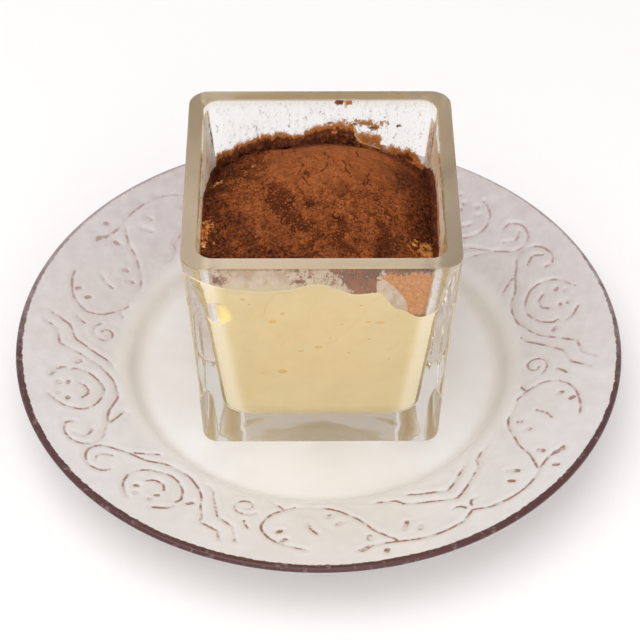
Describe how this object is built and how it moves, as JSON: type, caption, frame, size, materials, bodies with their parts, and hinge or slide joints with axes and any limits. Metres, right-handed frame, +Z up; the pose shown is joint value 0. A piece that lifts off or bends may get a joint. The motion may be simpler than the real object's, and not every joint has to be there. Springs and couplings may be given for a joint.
{
  "type": "custard dessert in a square glass",
  "caption": "Square pressed glass of vanilla custard under a mound of cocoa powder, served on a round rimmed dessert plate.",
  "frame": {"origin": "centre of the plate's foot ring, on the table", "axes": "+Z up; -Y towards the front of the glass, +X to its right"},
  "size_m": [0.2, 0.2, 0.0874],
  "materials": {
    "ceramic": "glazed white stoneware with embossed scrolls, brown glaze rubbed into the relief and a dark brown edge",
    "glass": "thick clear pressed glass, faintly smeared inside",
    "custard": "smooth pale yellow vanilla custard with a soft sheen",
    "cocoa": "matt dusted cocoa powder, cracked and granular, dark where it is wet"
  },
  "bodies": {
    "root": {"plate": "ceramic", "glass": "glass", "custard": "custard", "cocoa": "cocoa"}
  },
  "joints": []
}
